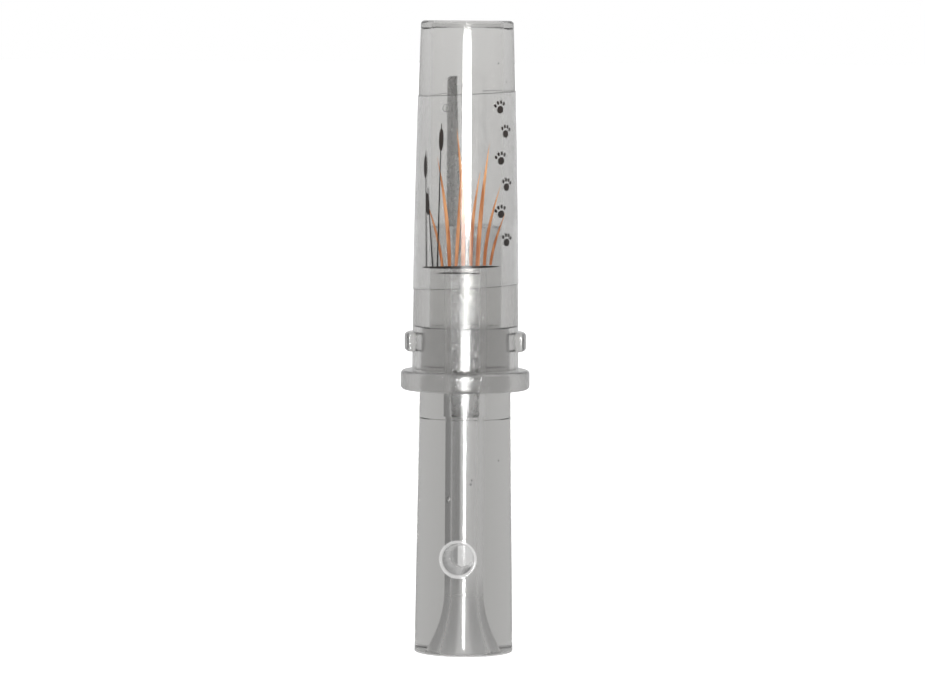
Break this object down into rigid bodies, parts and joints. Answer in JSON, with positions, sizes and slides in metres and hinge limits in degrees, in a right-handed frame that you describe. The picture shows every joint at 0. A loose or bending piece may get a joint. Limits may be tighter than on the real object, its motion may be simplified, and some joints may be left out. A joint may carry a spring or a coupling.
{
  "type": "predator call",
  "caption": "Hand-held closed-reed game call: clear mouth barrel with a lanyard seat, pushed onto a smoky stopper with a flared bell, a finger hole and a reed unit inside.",
  "frame": {"origin": "centre of the bell end's face, on the call's axis", "axes": "+Z from the bell end to the mouth, -Y towards the finger hole, +X to the right as the finger hole is looked at"},
  "size_m": [0.0244, 0.0244, 0.12],
  "materials": {
    "smoke_plastic": "clear smoky moulding, glossy outside and frosted on the tenon",
    "clear_plastic": "clear moulding, glossy with fine handling marks",
    "printed_film": "clear glossy film with a print",
    "board_plastic": "dark smoky moulding",
    "reed_strip": "frosted polyester strip",
    "wedge_plastic": "pale rough moulding"
  },
  "bodies": {
    "stopper": {"stopper": "smoke_plastic"},
    "barrel": {"barrel": "clear_plastic", "barrel_film": "printed_film"},
    "reed_unit": {"tone_board": "board_plastic", "reed_wedge": "wedge_plastic"},
    "reed": {"reed": "reed_strip"}
  },
  "joints": [
    {"name": "barrel_pull", "type": "slide", "parent": "stopper", "child": "barrel", "axis": [0, 0, 1], "range_m": [0, 0.065]},
    {"name": "reed_unit_pull", "type": "slide", "parent": "stopper", "child": "reed_unit", "axis": [0, 0, 1], "range_m": [0, 0.038]},
    {"name": "reed_flex", "type": "hinge", "parent": "reed_unit", "child": "reed", "pos_m": [-0.00085, 0, 0.079], "axis": [0, 1, 0], "range_deg": [-1.55, 0.8], "stiffness_Nm_per_rad": 0.01}
  ]
}
